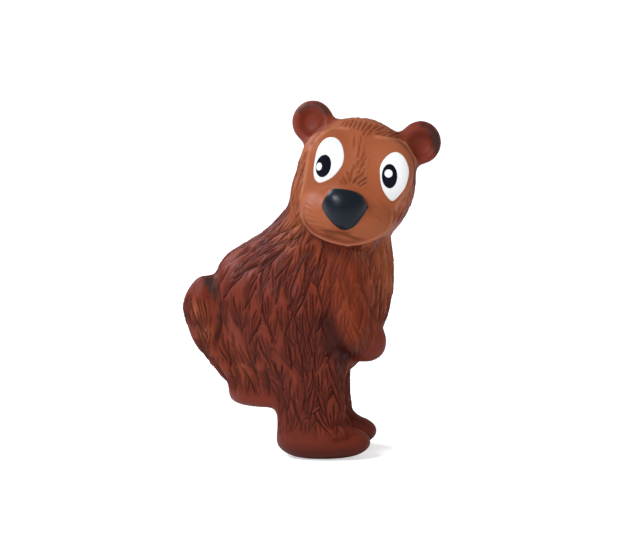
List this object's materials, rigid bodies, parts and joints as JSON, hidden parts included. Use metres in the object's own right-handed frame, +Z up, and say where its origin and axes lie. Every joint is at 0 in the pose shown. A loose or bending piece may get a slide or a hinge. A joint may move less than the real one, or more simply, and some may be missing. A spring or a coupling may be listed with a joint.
{
  "type": "squeaking latex dog toy",
  "caption": "Hollow moulded latex bear cub standing on its hind feet, stuffed with fibre, with painted eyes and nose and a reed squeaker plugged into its underside.",
  "frame": {"origin": "on the floor, at the middle of the toy's bounding box seen from above", "axes": "+Z up, +X the way the cub's chest and feet point, -Y the way its face looks, so that the cub's right side faces -Y"},
  "size_m": [0.1152, 0.0828, 0.1583],
  "materials": {
    "latex_brown": "satin, airbrushed lighter on the head and chest, darker at the ear rims, the tail tip and in the carved fur",
    "fibre_white": "loose polyester fibre",
    "paint_white": "satin flexible paint",
    "paint_black": "satin flexible paint",
    "nose_lacquer": "glossy blue-black lacquer",
    "plastic_white": "moulded polyethylene",
    "reed_brass": "thin rolled strip"
  },
  "bodies": {
    "toy": {"latex_skin": "latex_brown", "fibre_filling": "fibre_white", "eye_white_right": "paint_white", "eye_white_left": "paint_white", "pupil_right": "paint_black", "pupil_left": "paint_black", "eye_glint_right": "paint_white", "eye_glint_left": "paint_white", "nose_lacquer": "nose_lacquer", "squeaker_plug": "plastic_white", "squeaker_lid": "plastic_white", "reed_seat": "plastic_white", "reed_clamp": "plastic_white"},
    "reed": {"reed_tongue": "reed_brass"}
  },
  "joints": [
    {"name": "reed_flex", "type": "hinge", "parent": "toy", "child": "reed", "pos_m": [-0.01888, 0.00698, 0.0255], "axis": [0, 1, 0], "range_deg": [-4, 3], "stiffness_Nm_per_rad": 0.0002}
  ]
}
